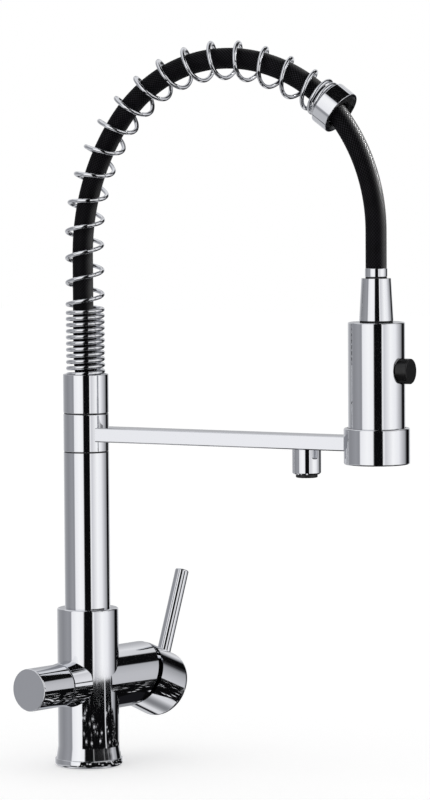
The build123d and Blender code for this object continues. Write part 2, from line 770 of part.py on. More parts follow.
def hose_end():
    """The free hose and the crimped fitting that plugs into the head's cone."""
    parts["free_hose"] = hose_free.pipe(hose_radius, hose_radius - hose_wall)
    crimp = round_ends(rod(crimp_radius, crimp_bottom, crimp_top), crimp_edge)
    plug = swivel_bore - running_clearance
    crimp += rod(plug, cone_top - swivel_depth + crimp_gap, crimp_bottom)
    crimp -= rod(hose_radius - hose_wall, cone_top - swivel_depth - overrun, crimp_top)
    crimp -= rod(hose_radius + running_clearance, crimp_socket, crimp_top + overrun)
    parts["hose_crimp"] = at(reach, 0) * crimp


def spray_head():
    """Cone, shell and what they hold, built on the Z axis and moved out to the reach."""
    made = {}
    neck = cone(cone_base_radius, cone_top_radius, head_top + cone_gap, cone_top)
    neck += rod(cone_thread_radius, head_top - cone_thread_depth, head_top + cone_gap)
    neck -= rod(cone_bore, head_top - cone_thread_depth - overrun, cone_top)
    neck -= rod(swivel_bore, cone_top - swivel_depth, cone_top + overrun)
    made["head_cone"] = neck
    low_valve = head_top + seat_clearance
    valve = tube(valve_radius, valve_radius / 2, low_valve, low_valve + valve_length)
    made["check_valve"] = valve

    shell = round_ends(rod(head_radius, head_bottom, head_top), head_edge)
    shell -= rod(head_radius - head_wall, head_bottom - overrun, head_top - head_roof)
    shell -= rod(cone_thread_radius + running_clearance, head_bottom, head_top + overrun)
    shell -= along_x(rod(button_radius + loose_clearance, 0, head_radius + overrun), 0, button_height)
    made["head_shell"] = shell

    core_low = head_bottom + core_rise
    core_high = head_top - cone_thread_depth - seat_clearance
    core = rod(core_radius, core_low, core_high)
    core += rod(head_radius - head_wall - seat_clearance, core_low, core_low + head_roof)
    core -= rod(core_bore, core_low - overrun, core_high + overrun)
    core -= along_x(rod(button_stem_radius + loose_clearance / 2, 0, core_radius + overrun), 0, button_height)
    made["head_core"] = core
    seal_places = (core_low - seal_wire, core_high - 2 * seal_wire)
    seal_radii = (core_bore + 3 * seal_wire, core_radius + seal_wire)
    seals = [Pos(0, 0, z) * Torus(r, seal_wire) for z, r in zip(seal_places, seal_radii)]
    made["head_seals"] = Compound(seals)

    face_low = head_bottom - face_drop
    plate = rod(face_radius, face_low, face_low + face_height)
    plate = round_ends(plate, edge_round, ends=(0,))
    face_high = face_low + face_height
    plate -= rod(head_aerator_radius + running_clearance, face_low - overrun, face_high + overrun)
    hole = rod(spray_hole_radius, face_low - overrun, face_low + face_height + overrun)
    plate -= spread(spray_holes, spray_hole_circle, hole)
    made["spray_face"] = plate
    middle = rod(head_aerator_radius, face_low, face_low + face_height)
    hole = rod(aerator_hole_radius, face_low - overrun, face_low + face_height + overrun)
    middle -= spread(aerator_holes, aerator_hole_circle, hole)
    made["head_aerator"] = middle

    button = rod(button_radius, button_back, button_reach)
    button = round_ends(button, edge_round, ends=(-1,))
    button += rod(button_stem_radius, button_stem_depth, button_back)
    made["spray_button"] = along_x(button, 0, button_height)
    spring_low = core_radius + button_spring_wire
    spring_high = button_back - button_spring_wire
    climb = spring_high - spring_low
    back_route = Route((spring_low, 0), 0, [(climb, 0)])
    gears = [(button_spring_turns, climb / button_spring_turns, climb / button_spring_turns)]
    coil = Coil(back_route, button_spring_radius, button_spring_wire, gears, 0.0)
    made["button_spring"] = Pos(0, 0, button_height) * coil.solid()
    for name, shape in made.items():
        parts[name] = at(reach, 0) * shape


def cartridge():
    """What stays in the lever housing: the cartridge, its fixed disc and the retaining nut."""
    shell = rod(pocket_radius - seat_clearance, -pocket_depth, -nut_seat_depth)
    shell -= rod(cavity_radius, -cavity_depth, overrun)
    for side in (1, -1):
        port = rod(duct_radius, -pocket_depth - overrun, 0)
        shell -= Pos(-side_duct_drop, side * side_duct_offset, 0) * port
    shell -= Pos(mixed_duct_rise, 0, 0) * rod(duct_radius, -pocket_depth - overrun, 0)
    parts["cartridge_body"] = lever_place * shell
    disc = rod(disc_radius, -cavity_depth, disc_height - cavity_depth)
    for side in (1, -1):
        port = rod(duct_radius, -cavity_depth - overrun, 0)
        disc -= Pos(-side_duct_drop, side * side_duct_offset / 2, 0) * port
    parts["fixed_disc"] = lever_place * disc
    nut = tube(nut_seat_radius - running_clearance, nut_bore, -nut_seat_depth, -housing_gap - nut_recess)
    parts["cartridge_nut"] = lever_place * nut


def lever():
    """What turns with the lever, then what also tilts with it."""
    disc_low = disc_height - cavity_depth + running_clearance
    rotor_low = -rotor_top - rotor_height
    parts["moving_disc"] = lever_place * rod(moving_disc_radius, disc_low, rotor_low)
    rotor = rod(cavity_radius - running_clearance, rotor_low, -rotor_top)
    rotor -= rod(rotor_hole, rotor_low - overrun, -rotor_top + overrun)
    pin_axis = Pos(0, 0, -pivot_depth) * Rot(quarter, 0, 0)
    pin_rod = rod(pin_radius, -pin_half_length, pin_half_length)
    rotor -= pin_axis * rod(pin_radius, -pin_half_length, pin_half_length)
    parts["cartridge_rotor"] = lever_place * rotor
    parts["rotor_pin"] = lever_place * pin_axis * pin_rod

    stem = rod(stem_tail_radius, -pivot_depth - stem_tail, -pivot_depth + stem_tail)
    stem += cone(stem_tail_radius, stem_radius, -pivot_depth + stem_tail, -housing_gap)
    stem += rod(stem_radius, -housing_gap, stem_top)
    stem -= pin_axis * rod(pin_radius + running_clearance, -pin_half_length, pin_half_length)
    parts["cartridge_stem"] = lever_place * stem

    rise = lever_cap_length
    outside = cone(cap_rim_radius, cap_end_radius, 0, rise)
    outside = round_ends(outside, lever_cap_round, ends=(-1,))
    rim_bore = cap_rim_radius - lever_cap_wall
    hollow = rod(rim_bore, -overrun, rise - lever_cap_end_wall)
    hub = rod(hub_radius, hub_start, rise - lever_cap_end_wall)
    cap = outside - (hollow - hub)
    cap -= rod(stem_radius + running_clearance, -overrun, stem_top + seat_clearance)
    upright = Pos(0, 0, stick_place) * Rot(0, quarter + stick_lean, 0)
    root_hole = stick_root_radius + running_clearance
    cap -= upright * rod(root_hole, rim_bore - stick_root, cap_end_radius + overrun)
    screw_place = Pos(0, 0, (hub_start + stem_top) / 2) * Rot(0, -quarter, 0)
    cap -= screw_place * rod(lever_screw_radius + running_clearance, stem_radius, hub_radius + overrun)
    parts["lever_cap"] = lever_place * cap
    stick = rod(stick_radius, rim_bore, cap_end_radius + stick_length)
    stick = round_ends(stick, stick_round, ends=(-1,))
    stick = upright * stick - outside
    stick += upright * rod(stick_root_radius, rim_bore - stick_root, cap_end_radius + stick_round)
    parts["lever_stick"] = lever_place * stick
    screw = rod(lever_screw_radius, stem_radius + running_clearance, stem_radius + lever_screw_length)
    parts["lever_screw"] = lever_place * screw_place * screw


def filter_tap():
    """Quarter-turn valve in the branch, and the knob on its spindle."""
    body = rod(headwork_radius, headwork_start, branch_end)
    body += rod(headwork_head_radius, branch_end, branch_end + headwork_head_height)
    body -= rod(filter_spindle_radius + running_clearance, filter_spindle_start - seat_clearance,
                branch_end + headwork_head_height + overrun)
    parts["filter_headwork"] = knob_place * body
    spindle_end = knob_end - knob_end_wall
    parts["filter_spindle"] = knob_place * rod(filter_spindle_radius, filter_spindle_start, spindle_end)
    start = branch_end + knob_gap
    knob = round_ends(rod(knob_radius, start, knob_end), edge_round)
    hollow = rod(knob_radius - knob_wall, start - overrun, spindle_end)
    hub = rod(knob_hub_radius, spindle_end - knob_hub_length, spindle_end)
    knob -= hollow - hub
    knob -= rod(filter_spindle_radius + running_clearance, start, spindle_end)
    screw_place = Pos(0, 0, spindle_end - knob_hub_length / 2) * Rot(0, -quarter, 0)
    screw_hole = knob_screw_radius + running_clearance
    knob -= screw_place * rod(screw_hole, filter_spindle_radius, knob_radius + overrun)
    parts["filter_knob"] = knob_place * knob
    screw = rod(knob_screw_radius, filter_spindle_radius + running_clearance,
                filter_spindle_radius + knob_screw_length)
    parts["knob_screw"] = knob_place * screw_place * screw


foot()
valve_body()
column()
swivel()
arm()
arch()
hose_end()
spray_head()
cartridge()
lever()
filter_tap()

os.makedirs("parts", exist_ok=True)
for name, shape in parts.items():
    solids = shape.solids()
    export_step(Compound(solids) if len(solids) > 1 else solids[0], f"parts/{name}.step")
print("pivot of the lever", *(round(v, 3) for v in pivot), "axis", *(round(v, 5) for v in lever_axis))
print(len(parts), "nodes")
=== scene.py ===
import math

import bmesh
import bpy
import numpy as np
from mathutils import Matrix, Vector


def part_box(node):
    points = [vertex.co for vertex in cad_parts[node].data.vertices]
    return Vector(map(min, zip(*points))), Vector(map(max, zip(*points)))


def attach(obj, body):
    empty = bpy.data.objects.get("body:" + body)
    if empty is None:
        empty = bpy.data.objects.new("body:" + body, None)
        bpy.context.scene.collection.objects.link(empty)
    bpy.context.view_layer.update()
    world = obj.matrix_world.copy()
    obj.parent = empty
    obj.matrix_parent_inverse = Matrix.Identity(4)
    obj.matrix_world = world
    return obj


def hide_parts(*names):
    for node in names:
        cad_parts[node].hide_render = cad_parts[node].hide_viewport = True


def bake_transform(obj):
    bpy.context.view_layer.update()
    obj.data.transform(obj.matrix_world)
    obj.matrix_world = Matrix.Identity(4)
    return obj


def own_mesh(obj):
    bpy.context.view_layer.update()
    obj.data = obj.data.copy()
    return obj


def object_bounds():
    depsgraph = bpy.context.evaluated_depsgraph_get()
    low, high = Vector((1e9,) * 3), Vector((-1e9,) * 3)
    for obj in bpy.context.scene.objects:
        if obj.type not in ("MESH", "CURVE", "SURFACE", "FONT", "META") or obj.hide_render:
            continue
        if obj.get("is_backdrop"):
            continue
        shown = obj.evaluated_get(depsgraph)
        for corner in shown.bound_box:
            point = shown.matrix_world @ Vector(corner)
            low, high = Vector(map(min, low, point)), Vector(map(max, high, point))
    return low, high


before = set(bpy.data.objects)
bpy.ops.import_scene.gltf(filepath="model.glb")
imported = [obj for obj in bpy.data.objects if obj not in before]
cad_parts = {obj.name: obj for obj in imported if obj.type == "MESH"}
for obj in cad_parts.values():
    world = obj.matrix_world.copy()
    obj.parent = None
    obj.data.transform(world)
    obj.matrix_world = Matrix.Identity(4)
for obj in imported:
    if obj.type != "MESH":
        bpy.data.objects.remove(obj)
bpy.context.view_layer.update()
scene = bpy.context.scene
mm = 0.001


# Base gasket and base ring. The ring is turned brass, polished and chrome plated, and the stud
# pulls it down on the worktop over a flat ring of moulded nitrile rubber.

def linear(code):
    """A colour written as sRGB hex, as the linear values that shaders use."""
    share = np.array([int(code[i:i + 2], 16) for i in (1, 3, 5)]) / 255
    bright = np.where(share <= 0.04045, share / 12.92, ((share + 0.055) / 1.055) ** 2.4)
    return (*bright.tolist(), 1.0)


def node(tree, kind, inputs=None, **settings):
    """Adds a node, sets what is named, and fills its inputs with values or with other sockets."""
    made = tree.nodes.new(kind)
    for name, value in settings.items():
        setattr(made, name, value)
    for name, value in (inputs or {}).items():
        socket = next(s for i, s in enumerate(made.inputs) if name in (i, s.identifier, s.name))
        if isinstance(value, bpy.types.NodeSocket):
            tree.links.new(value, socket)
        else:
            socket.default_value = value
    return made


def material(name):
    """An empty node material and its tree."""
    made = bpy.data.materials.new(name)
    made.use_nodes = True
    made.node_tree.nodes.clear()
    return made, made.node_tree


def chrome_plate(name, code="#E6E7EA", roughness=0.035):
    """Bright chrome over nickel, buffed before it was plated: mirror-like, a little cool, with
    the faintest waviness from the buffing wheel and a thin film of handling."""
    made, tree = material(name)
    place = node(tree, "ShaderNodeTexCoord").outputs["Object"]
    film = node(tree, "ShaderNodeTexNoise", {"Vector": place, "Scale": 45.0, "Detail": 3.0})
    gloss = node(tree, "ShaderNodeMapRange", {
        "Value": film.outputs["Fac"], "From Min": 0.35, "From Max": 0.75, "To Min": roughness,
        "To Max": roughness * 2.2})
    wave = node(tree, "ShaderNodeTexNoise", {"Vector": place, "Scale": 70.0, "Detail": 1.0})
    bump = node(tree, "ShaderNodeBump", {
        "Height": wave.outputs["Fac"], "Strength": 0.05, "Distance": 0.02 * mm})
    shader = node(tree, "ShaderNodeBsdfPrincipled", {
        "Base Color": linear(code), "Metallic": 1.0, "Roughness": gloss.outputs["Result"],
        "Normal": bump.outputs["Normal"]})
    node(tree, "ShaderNodeOutputMaterial", {"Surface": shader.outputs["BSDF"]})
    return made


def moulded(name, code, roughness, metallic=0.0, grain=400.0, depth=0.02):
    """A moulded or turned surface of one colour, with a fine grain in its gloss and its height."""
    made, tree = material(name)
    place = node(tree, "ShaderNodeTexCoord").outputs["Object"]
    noise = node(tree, "ShaderNodeTexNoise", {"Vector": place, "Scale": grain, "Detail": 4.0})
    gloss = node(tree, "ShaderNodeMapRange", {
        "Value": noise.outputs["Fac"], "From Min": 0.3, "From Max": 0.7,
        "To Min": roughness * 0.85, "To Max": roughness * 1.15})
    bump = node(tree, "ShaderNodeBump", {
        "Height": noise.outputs["Fac"], "Strength": 0.3, "Distance": depth * mm})
    shader = node(tree, "ShaderNodeBsdfPrincipled", {
        "Base Color": linear(code), "Metallic": metallic, "Roughness": gloss.outputs["Result"],
        "Normal": bump.outputs["Normal"]})
    node(tree, "ShaderNodeOutputMaterial", {"Surface": shader.outputs["BSDF"]})
    return made


def dress(finish, *names):
    """Gives CAD nodes their finish, in every slot that they have."""
    for name in names:
        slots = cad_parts[name].data.materials
        for i in range(len(slots)):
            slots[i] = finish


chrome = chrome_plate("chrome_plate_polished")
rubber = moulded("nitrile_rubber_moulded", "#1A1A1B", 0.62)
dress(chrome, "base_ring")
dress(rubber, "base_gasket")


# Valve body: one brass casting with the lever's housing on one side and the filter branch on
# the other, machined, polished and plated like the ring that it stands on.

dress(chrome, "valve_body")


# Cartridge: an acetal body with a fixed and a moving ceramic disc, a rotor, its steel pin and
# brass stem. It drops into the housing, and a black threaded nut holds it down.

black_plastic = moulded("acetal_moulded_black", "#151516", 0.42)
ceramic = moulded("alumina_ceramic_lapped", "#E6E5E0", 0.2)
brass = moulded("brass_turned", "#B8924F", 0.28, metallic=1.0)
steel = moulded("stainless_steel_turned", "#A9AAAC", 0.25, metallic=1.0)
dress(black_plastic, "cartridge_body", "cartridge_rotor", "cartridge_nut")
dress(ceramic, "fixed_disc", "moving_disc")
dress(steel, "rotor_pin")
dress(brass, "cartridge_stem")


# Lever cap: a drum turned from brass and plated. It slips over the cartridge's stem, and a
# steel grub screw in its hub holds it.

dress(chrome, "lever_cap")
dress(steel, "lever_screw")


# Lever stick: a round bar, turned with a rounded end and plated, screwed into the cap's side.

def skin(name, grid, finish, girth=None, way=None, rises=None):
    """A smooth mesh over rows of points, each row a closed loop that runs counter-clockwise
    seen from the last row, with both ends closed. Its UV map is the share of the girth around
    and the way along, and rises is kept at each point as the attribute called rise."""
    rows, around = grid.shape[:2]
    i, j = np.meshgrid(np.arange(rows - 1), np.arange(around), indexing="ij")
    near, far = (i + np.zeros_like(j)) * around, (i + 1) * around
    k = (j + 1) % around
    quads = np.stack([near + j, near + k, far + k, far + j], axis=-1).reshape(-1)
    first = np.arange(around)[::-1]
    last = (rows - 1) * around + np.arange(around)
    corners = np.concatenate([quads, first, last]).astype(np.int32)
    count = (rows - 1) * around
    starts = np.concatenate([np.arange(count + 1) * 4, [count * 4 + around]]).astype(np.int32)
    mesh = bpy.data.meshes.new(name)
    mesh.vertices.add(rows * around)
    mesh.vertices.foreach_set("co", grid.reshape(-1).astype(np.float32))
    mesh.loops.add(len(corners))
    mesh.loops.foreach_set("vertex_index", corners)
    mesh.polygons.add(len(starts))
    mesh.polygons.foreach_set("loop_start", starts)
    smooth = np.ones(len(starts), dtype=bool)
    smooth[-2:] = False
    mesh.polygons.foreach_set("use_smooth", smooth)
    if way is not None:
        flat = np.zeros((len(corners), 2), dtype=np.float32)
        across = np.stack([j, j + 1, j + 1, j], axis=-1).reshape(-1) * girth / around
        along = np.stack([way[i], way[i], way[i + 1], way[i + 1]], axis=-1).reshape(-1)
        flat[:count * 4, 0], flat[:count * 4, 1] = across, along
        mesh.uv_layers.new(name="around_along").data.foreach_set("uv", flat.reshape(-1))
    if rises is not None:
        layer = mesh.attributes.new("rise", "FLOAT", "POINT")
        layer.data.foreach_set("value", rises.reshape(-1).astype(np.float32))
    mesh.update(calc_edges=True)
    mesh.materials.append(finish)
    made = bpy.data.objects.new(name, mesh)
    scene.collection.objects.link(made)
    return made


def turned(base, axis, side, radii, rises, around=96):
    """Points of a turned form: at each rise along the axis a circle of that radius, whose angle
    grows from the side vector towards the cross product of axis and side."""
    axis, side = np.array(axis), np.array(side)
    other = np.cross(axis, side)
    angle = np.linspace(0, 2 * np.pi, around, endpoint=False)[None, :, None]
    circle = np.cos(angle) * side + np.sin(angle) * other
    return np.array(base) + np.array(rises)[:, None, None] * axis + \
        np.array(radii)[:, None, None] * circle


lever_heading, tilt, lean = math.radians(79.2), math.radians(22.5), math.radians(2.0)
lever_way = np.array([math.cos(lever_heading), math.sin(lever_heading), 0])
upright = np.array([0, 0, 1.0])
cap_axis = lever_way * math.cos(tilt) - upright * math.sin(tilt)
cap_side = lever_way * math.sin(tilt) + upright * math.cos(tilt)
stick_axis = cap_side * math.cos(lean) - cap_axis * math.sin(lean)
stick_back = cap_axis * math.cos(lean) + cap_side * math.sin(lean)
# from the column out to the cap's rim, up to the lever's axis, and on along the cap
rim_out, rim_up, stick_place = 57.0, 63.5, 24.8
stick_foot = (lever_way * rim_out + upright * rim_up + cap_axis * stick_place) * mm
stick_radius, stick_start, stick_end, stick_round = 5.24, 22.5, 89.3, 1.2
stick_rows, row_gap, tip_radius = 30, 0.12, 0.4
bend = np.linspace(0, np.pi / 2, 9)
stick_rises = np.concatenate([
    np.linspace(stick_start, stick_end - stick_round - row_gap, stick_rows),
    stick_end - stick_round * (1 - np.sin(bend)), [stick_end, stick_end]])
stick_radii = np.concatenate([
    np.full(stick_rows, stick_radius), stick_radius - stick_round * (1 - np.cos(bend)),
    [stick_radius - stick_round - row_gap, tip_radius]])
stick = skin("lever_stick_bar", turned(stick_foot, stick_axis, -stick_back, stick_radii * mm,
                                       stick_rises * mm), chrome)
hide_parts("lever_stick")
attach(stick, "lever")


# Filter headwork, its spindle and the knob: a brass quarter-turn valve screwed into the
# branch, and a plated drum on its spindle, held by a steel grub screw.

dress(brass, "filter_headwork", "filter_spindle")
dress(chrome, "filter_knob")
dress(steel, "knob_screw")


# Column tube and the two risers inside it: drawn brass tube, plated outside, pressed into the
# body, with a wide brass riser for mixed water and a thin plastic one for filtered water.

dress(chrome, "column_tube")
dress(brass, "mixed_riser")
dress(black_plastic, "filter_riser")


# Swivel: a brass spindle fixed in the column's top with two O-rings, and a black slide ring
# below and above the collar that turns on it.

dress(brass, "swivel_spindle")
dress(rubber, "swivel_seals")
dress(black_plastic, "lower_slide_ring", "upper_slide_ring")
dress(steel, "ferrule_clip")


# Collar, arm and docking ring: the arm is a drawn rectangular tube soldered over a stub at each
# end, and all three are polished and plated together. The ring's liner is acetal.

dress(chrome, "swivel_collar", "arm_bar", "docking_ring")
dress(black_plastic, "dock_liner")


# Filter spout: a short plated brass spout under the arm with its own aerator, fed by a thin
# plastic tube inside the arm.

dress(chrome, "filter_spout")
dress(black_plastic, "filter_aerator", "filter_tube")


# Spring ferrule and spring: a turned, plated sleeve on the collar, and one length of hard
# drawn wire, coiled tight in the sleeve and open over the arch, then plated.

wire_chrome = chrome_plate("chrome_plate_spring_wire", roughness=0.05)
dress(chrome, "spring_ferrule")
dress(wire_chrome, "arch_spring")


# Hose inside the spring: a rubber water hose in a tight braid of black nylon, pushed on the
# plug of its nut and led over the arch to the end cap.

def walked(start, heading, legs, step):
    """Points, headings and distances along a path in the plane of X and Z. Each leg is a length
    and a turn in degrees to the right: an arc where it turns, or else a straight run."""
    points, headings, ways = [], [], []
    place, angle, way = np.array(start, dtype=float), math.radians(heading), 0.0
    for length, turn in legs:
        share = np.linspace(0, 1, max(2, int(length / step)), endpoint=False)
        bent = angle - math.radians(turn) * share
        if turn:
            radius = length / math.radians(turn)
            x = place[0] + radius * (math.sin(angle) - np.sin(bent))
            z = place[1] + radius * (np.cos(bent) - math.cos(angle))
            last = angle - math.radians(turn)
            place = place + radius * np.array([math.sin(angle) - math.sin(last),
                                               math.cos(last) - math.cos(angle)])
        else:
            x = place[0] + length * share * math.cos(angle)
            z = place[1] + length * share * math.sin(angle)
            last = angle
            place = place + length * np.array([math.cos(angle), math.sin(angle)])
        points.append(np.stack([x, z], axis=-1))
        headings.append(bent)
        ways.append(way + length * share)
        angle, way = last, way + length
    points.append(place[None])
    headings.append(np.array([angle]))
    ways.append(np.array([way]))
    return np.concatenate(points), np.concatenate(headings), np.concatenate(ways)


hose_radius = 7.6


def braided(name, start, heading, legs, began, finish):
    """A braided hose along a path. Two families of plaits cross it at equal and opposite slopes.
    Each plait has the flat crown of a superellipse of power four, and rises over every second
    plait that it crosses and dips under the others; the surface is the higher of the two."""
    plaits, pitch, depth, crest_radius = 22, 2.6, 0.4, 7.68
    steps = 5  # points across each plait, and along each pitch
    weave, narrow, power = 0.45, 1.94, 4  # how far a plait dips, its width and its crown
    around = steps * plaits
    points, headings, ways = walked(start, heading, legs, pitch / steps)
    angle = np.linspace(0, 2 * np.pi, around, endpoint=False)
    turn = plaits * angle[None, :] / (2 * np.pi)
    climb = (ways[:, None] + began) / pitch
    p, q = turn + climb, turn - climb
    a, b = p - np.floor(p) - 0.5, q - np.floor(q) - 0.5
    over = np.where((np.floor(p) + np.floor(q)) % 2 == 0, 1.0, -1.0)
    one = weave * over * np.cos(np.pi * b) + \
        np.clip(1 - (narrow * a) ** power, 0, 1) ** (1 / power)
    two = -weave * over * np.cos(np.pi * a) + \
        np.clip(1 - (narrow * b) ** power, 0, 1) ** (1 / power)
    rise = np.clip(np.maximum(one, two) / (1 + weave), 0, 1)
    radius = crest_radius - depth * (1 - rise)
    side = np.array([0.0, 1.0, 0.0])
    out = np.stack([-np.sin(headings), np.zeros_like(headings), np.cos(headings)], axis=-1)
    ring = np.cos(angle)[None, :, None] * side + np.sin(angle)[None, :, None] * out[:, None, :]
    centre = np.stack([points[:, 0], np.zeros(len(points)), points[:, 1]], axis=-1)
    grid = (centre[:, None, :] + radius[..., None] * ring) * mm
    return skin(name, grid, finish, girth=2 * np.pi * hose_radius * mm, way=(ways + began) * mm,
                rises=rise)


braid, tree = material("nylon_braid_black")
flat = node(tree, "ShaderNodeUVMap", uv_map="around_along").outputs["UV"]
lift = node(tree, "ShaderNodeAttribute", attribute_name="rise").outputs["Fac"]
# filaments 0.25 mm wide, coarser than the real 0.03 mm so that they still show
threads = node(tree, "ShaderNodeTexNoise", {"Vector": flat, "Scale": 4000.0, "Detail": 2.0})
worn = node(tree, "ShaderNodeTexNoise", {"Vector": flat, "Scale": 90.0, "Detail": 3.0})
dye = node(tree, "ShaderNodeMapRange", {
    "Value": worn.outputs["Fac"], "From Min": 0.3, "From Max": 0.7, "To Min": 0.45, "To Max": 1.0})
crest = node(tree, "ShaderNodeMapRange", {
    "Value": lift, "From Min": 0.8, "From Max": 0.98}, interpolation_type="SMOOTHSTEP")
# the colour is painted shade: the valleys between the plaits are painted near black and the crests
# lighter, with a random dye tone along the crests
painted_valley_shade_and_dye = node(tree, "ShaderNodeMath", {0: crest.outputs["Result"], 1: dye.outputs["Result"]},
           operation="MULTIPLY")
colour = node(tree, "ShaderNodeMix", {
    "Factor_Float": painted_valley_shade_and_dye.outputs["Value"], "A_Color": linear("#020203"),
    "B_Color": linear("#211F25")}, data_type="RGBA")
# only the crests are rubbed to a gloss; between them the filaments stay dull
rubbed = node(tree, "ShaderNodeMapRange", {
    "Value": threads.outputs["Fac"], "From Min": 0.3, "From Max": 0.7, "To Min": 0.2,
    "To Max": 0.34})
gloss = node(tree, "ShaderNodeMix", {
    "Factor_Float": crest.outputs["Result"], "A_Float": 0.95,
    "B_Float": rubbed.outputs["Result"]})
bump = node(tree, "ShaderNodeBump", {
    "Height": threads.outputs["Fac"], "Strength": 0.6, "Distance": 0.05 * mm})
shader = node(tree, "ShaderNodeBsdfPrincipled", {
    "Base Color": colour.outputs["Result"], "Roughness": gloss.outputs["Result"],
    "Specular IOR Level": 0.12, "Normal": bump.outputs["Normal"]})
node(tree, "ShaderNodeOutputMaterial", {"Surface": shader.outputs["BSDF"]})

dress(brass, "hose_nut")
arch_legs = [(2.7, 0), (12.041, -8.1984), (12.041, 8.1984), (71.9679, 0), (107.8081, 36.6),
             (104.3269, 53.4), (72.2534, 34.0), (28.9878, 15.4)]
arch_length = sum(length for length, turn in arch_legs)
arch_hose = braided("arch_hose_braid", (0, 284.0), 90.0, arch_legs, 0.0, braid)
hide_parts("arch_hose")
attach(arch_hose, "arm")


# End cap: a turned, plated sleeve over the spring's last turns, held by a grub screw, with an
# acetal bush in its mouth that keeps the hose off the rim.

dress(chrome, "spring_end_cap")
dress(black_plastic, "end_cap_bush")
dress(steel, "end_cap_screw")


# Free hose: the same braided hose from the end cap down to its crimped ferrule on the head.

drop_legs = [(92.4599, 40.6), (29.434, 0)]
free_hose = braided("free_hose_braid", (211.0893, 488.4482), -49.4, drop_legs, arch_length, braid)
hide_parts("free_hose")
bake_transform(free_hose)
dress(chrome, "hose_crimp")


# Spray head: a turned cone that swivels on the crimp, and a plated shell over an acetal core
# with its check valve, seals, spray plate and aerator.

dress(chrome, "head_cone", "head_shell")
dress(black_plastic, "head_core", "check_valve", "spray_face", "head_aerator")
dress(rubber, "head_seals")


# Joint washers: flat moulded rubber rings that fill the joint under the cone and the swivel
# joint under the crimp, and show as two black lines.

def washer(name, centre, inner, outer, low, high, finish):
    """A flat ring: a rectangle with its outer corners cut off, from the inner to the outer
    radius and from the low to the high rise, carried once round an upright axis."""
    cut, around = 0.1, 96
    outline = np.array([(inner, low), (outer - cut, low), (outer, low + cut), (outer, high - cut),
                        (outer - cut, high), (inner, high)])
    angle = np.linspace(0, 2 * np.pi, around, endpoint=False)
    grid = np.stack([np.cos(angle)[:, None] * outline[:, 0], np.sin(angle)[:, None] * outline[:, 0],
                     np.broadcast_to(outline[:, 1], (around, len(outline)))], axis=-1)
    i, j = np.meshgrid(np.arange(around), np.arange(len(outline)), indexing="ij")
    after, beside = (i + 1) % around, (j + 1) % len(outline)
    wide = len(outline)
    quads = np.stack([i * wide + j, after * wide + j, after * wide + beside, i * wide + beside],
                     axis=-1).reshape(-1, 4)
    mesh = bpy.data.meshes.new(name)
    mesh.from_pydata(((grid + centre) * mm).reshape(-1, 3), [], quads)
    mesh.materials.append(finish)
    made = bpy.data.objects.new(name, mesh)
    scene.collection.objects.link(made)
    return made


head_axis, joint_slack = np.array([242.5, 0, 0]), 0.08
cone_joint, crimp_joint = 1.2, 1.1  # how wide the two joints are
head_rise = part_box("head_shell")[1][2] / mm
cone_washer = washer("cone_washer", head_axis, 9.1, 12.0, head_rise + joint_slack,
                     head_rise + cone_joint - joint_slack, rubber)
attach(cone_washer, "spray_head")
cone_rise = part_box("head_cone")[1][2] / mm
crimp_washer = washer("crimp_washer", head_axis, 6.6, 7.8, cone_rise + joint_slack,
                      cone_rise + crimp_joint - joint_slack, rubber)
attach(crimp_washer, "hose_end")


# Button: a moulded cap of black silicone rubber with a smooth face, pushed in against a small
# steel spring to change the jet.

button_rubber = moulded("silicone_rubber_satin", "#0C0C0D", 0.33)
dress(button_rubber, "spray_button")

# the spring takes the CAD coil's own form
coil = bmesh.new()
coil.from_mesh(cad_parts["button_spring"].data)
bmesh.ops.remove_doubles(coil, verts=coil.verts, dist=0.001 * mm)
mesh = bpy.data.meshes.new("button_spring_coil")
coil.to_mesh(mesh)
coil.free()
mesh.materials.clear()
mesh.materials.append(steel)
button_coil = bpy.data.objects.new("button_spring_coil", mesh)
scene.collection.objects.link(button_coil)
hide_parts("button_spring")
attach(button_coil, "spray_head")
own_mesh(button_coil)


# The photograph's camera: almost level, to the right of the arm's front, a long way off.

azimuth, dip, roll = math.radians(28.49), math.radians(4.0), math.radians(-0.37)
distance, centre_offset, centre_height = 3363.6 * mm, 96.45 * mm, 274.16 * mm
ahead = Vector((-math.sin(azimuth) * math.cos(dip), math.cos(azimuth) * math.cos(dip),
                -math.sin(dip)))
level = Vector((math.cos(azimuth), math.sin(azimuth), 0))
upward = level.cross(ahead)
right = math.cos(roll) * level + math.sin(roll) * upward
top = -math.sin(roll) * level + math.cos(roll) * upward
target = level * centre_offset + Vector((0, 0, centre_height))
lens = bpy.data.cameras.new("camera")
lens.sensor_fit = "VERTICAL"
lens.sensor_height = 36
lens.sensor_width = 36
lens.lens = 202.5
lens.clip_start, lens.clip_end = 0.01, 100
camera = bpy.data.objects.new("camera", lens)
camera.matrix_world = Matrix.Translation(target - ahead * distance) @ \
    Matrix((right, top, -ahead)).transposed().to_4x4()
scene.collection.objects.link(camera)
scene.camera = camera


# The studio: white all round to the eye, while the chrome sees tall white panels, grey gaps and
# black cards at the angles that the photograph's reflections ask for.

def ramp(tree, share, stops, start, end):
    """Colours over a range: stops are (place, colour), with places in the range's own unit.
    Stops beyond the range fall away."""
    stops = [stop for stop in stops if start <= stop[0] <= end]
    stops = [(start, stops[0][1])] * (stops[0][0] > start) + stops
    made = node(tree, "ShaderNodeValToRGB", {"Fac": share})
    row = made.color_ramp.elements
    while len(row) < len(stops):
        row.new(0.5)
    for element, (place, code) in zip(row, stops):
        element.position = (place - start) / (end - start)
        element.color = linear(code) if isinstance(code, str) else (code, code, code, 1)
    return made.outputs["Color"]


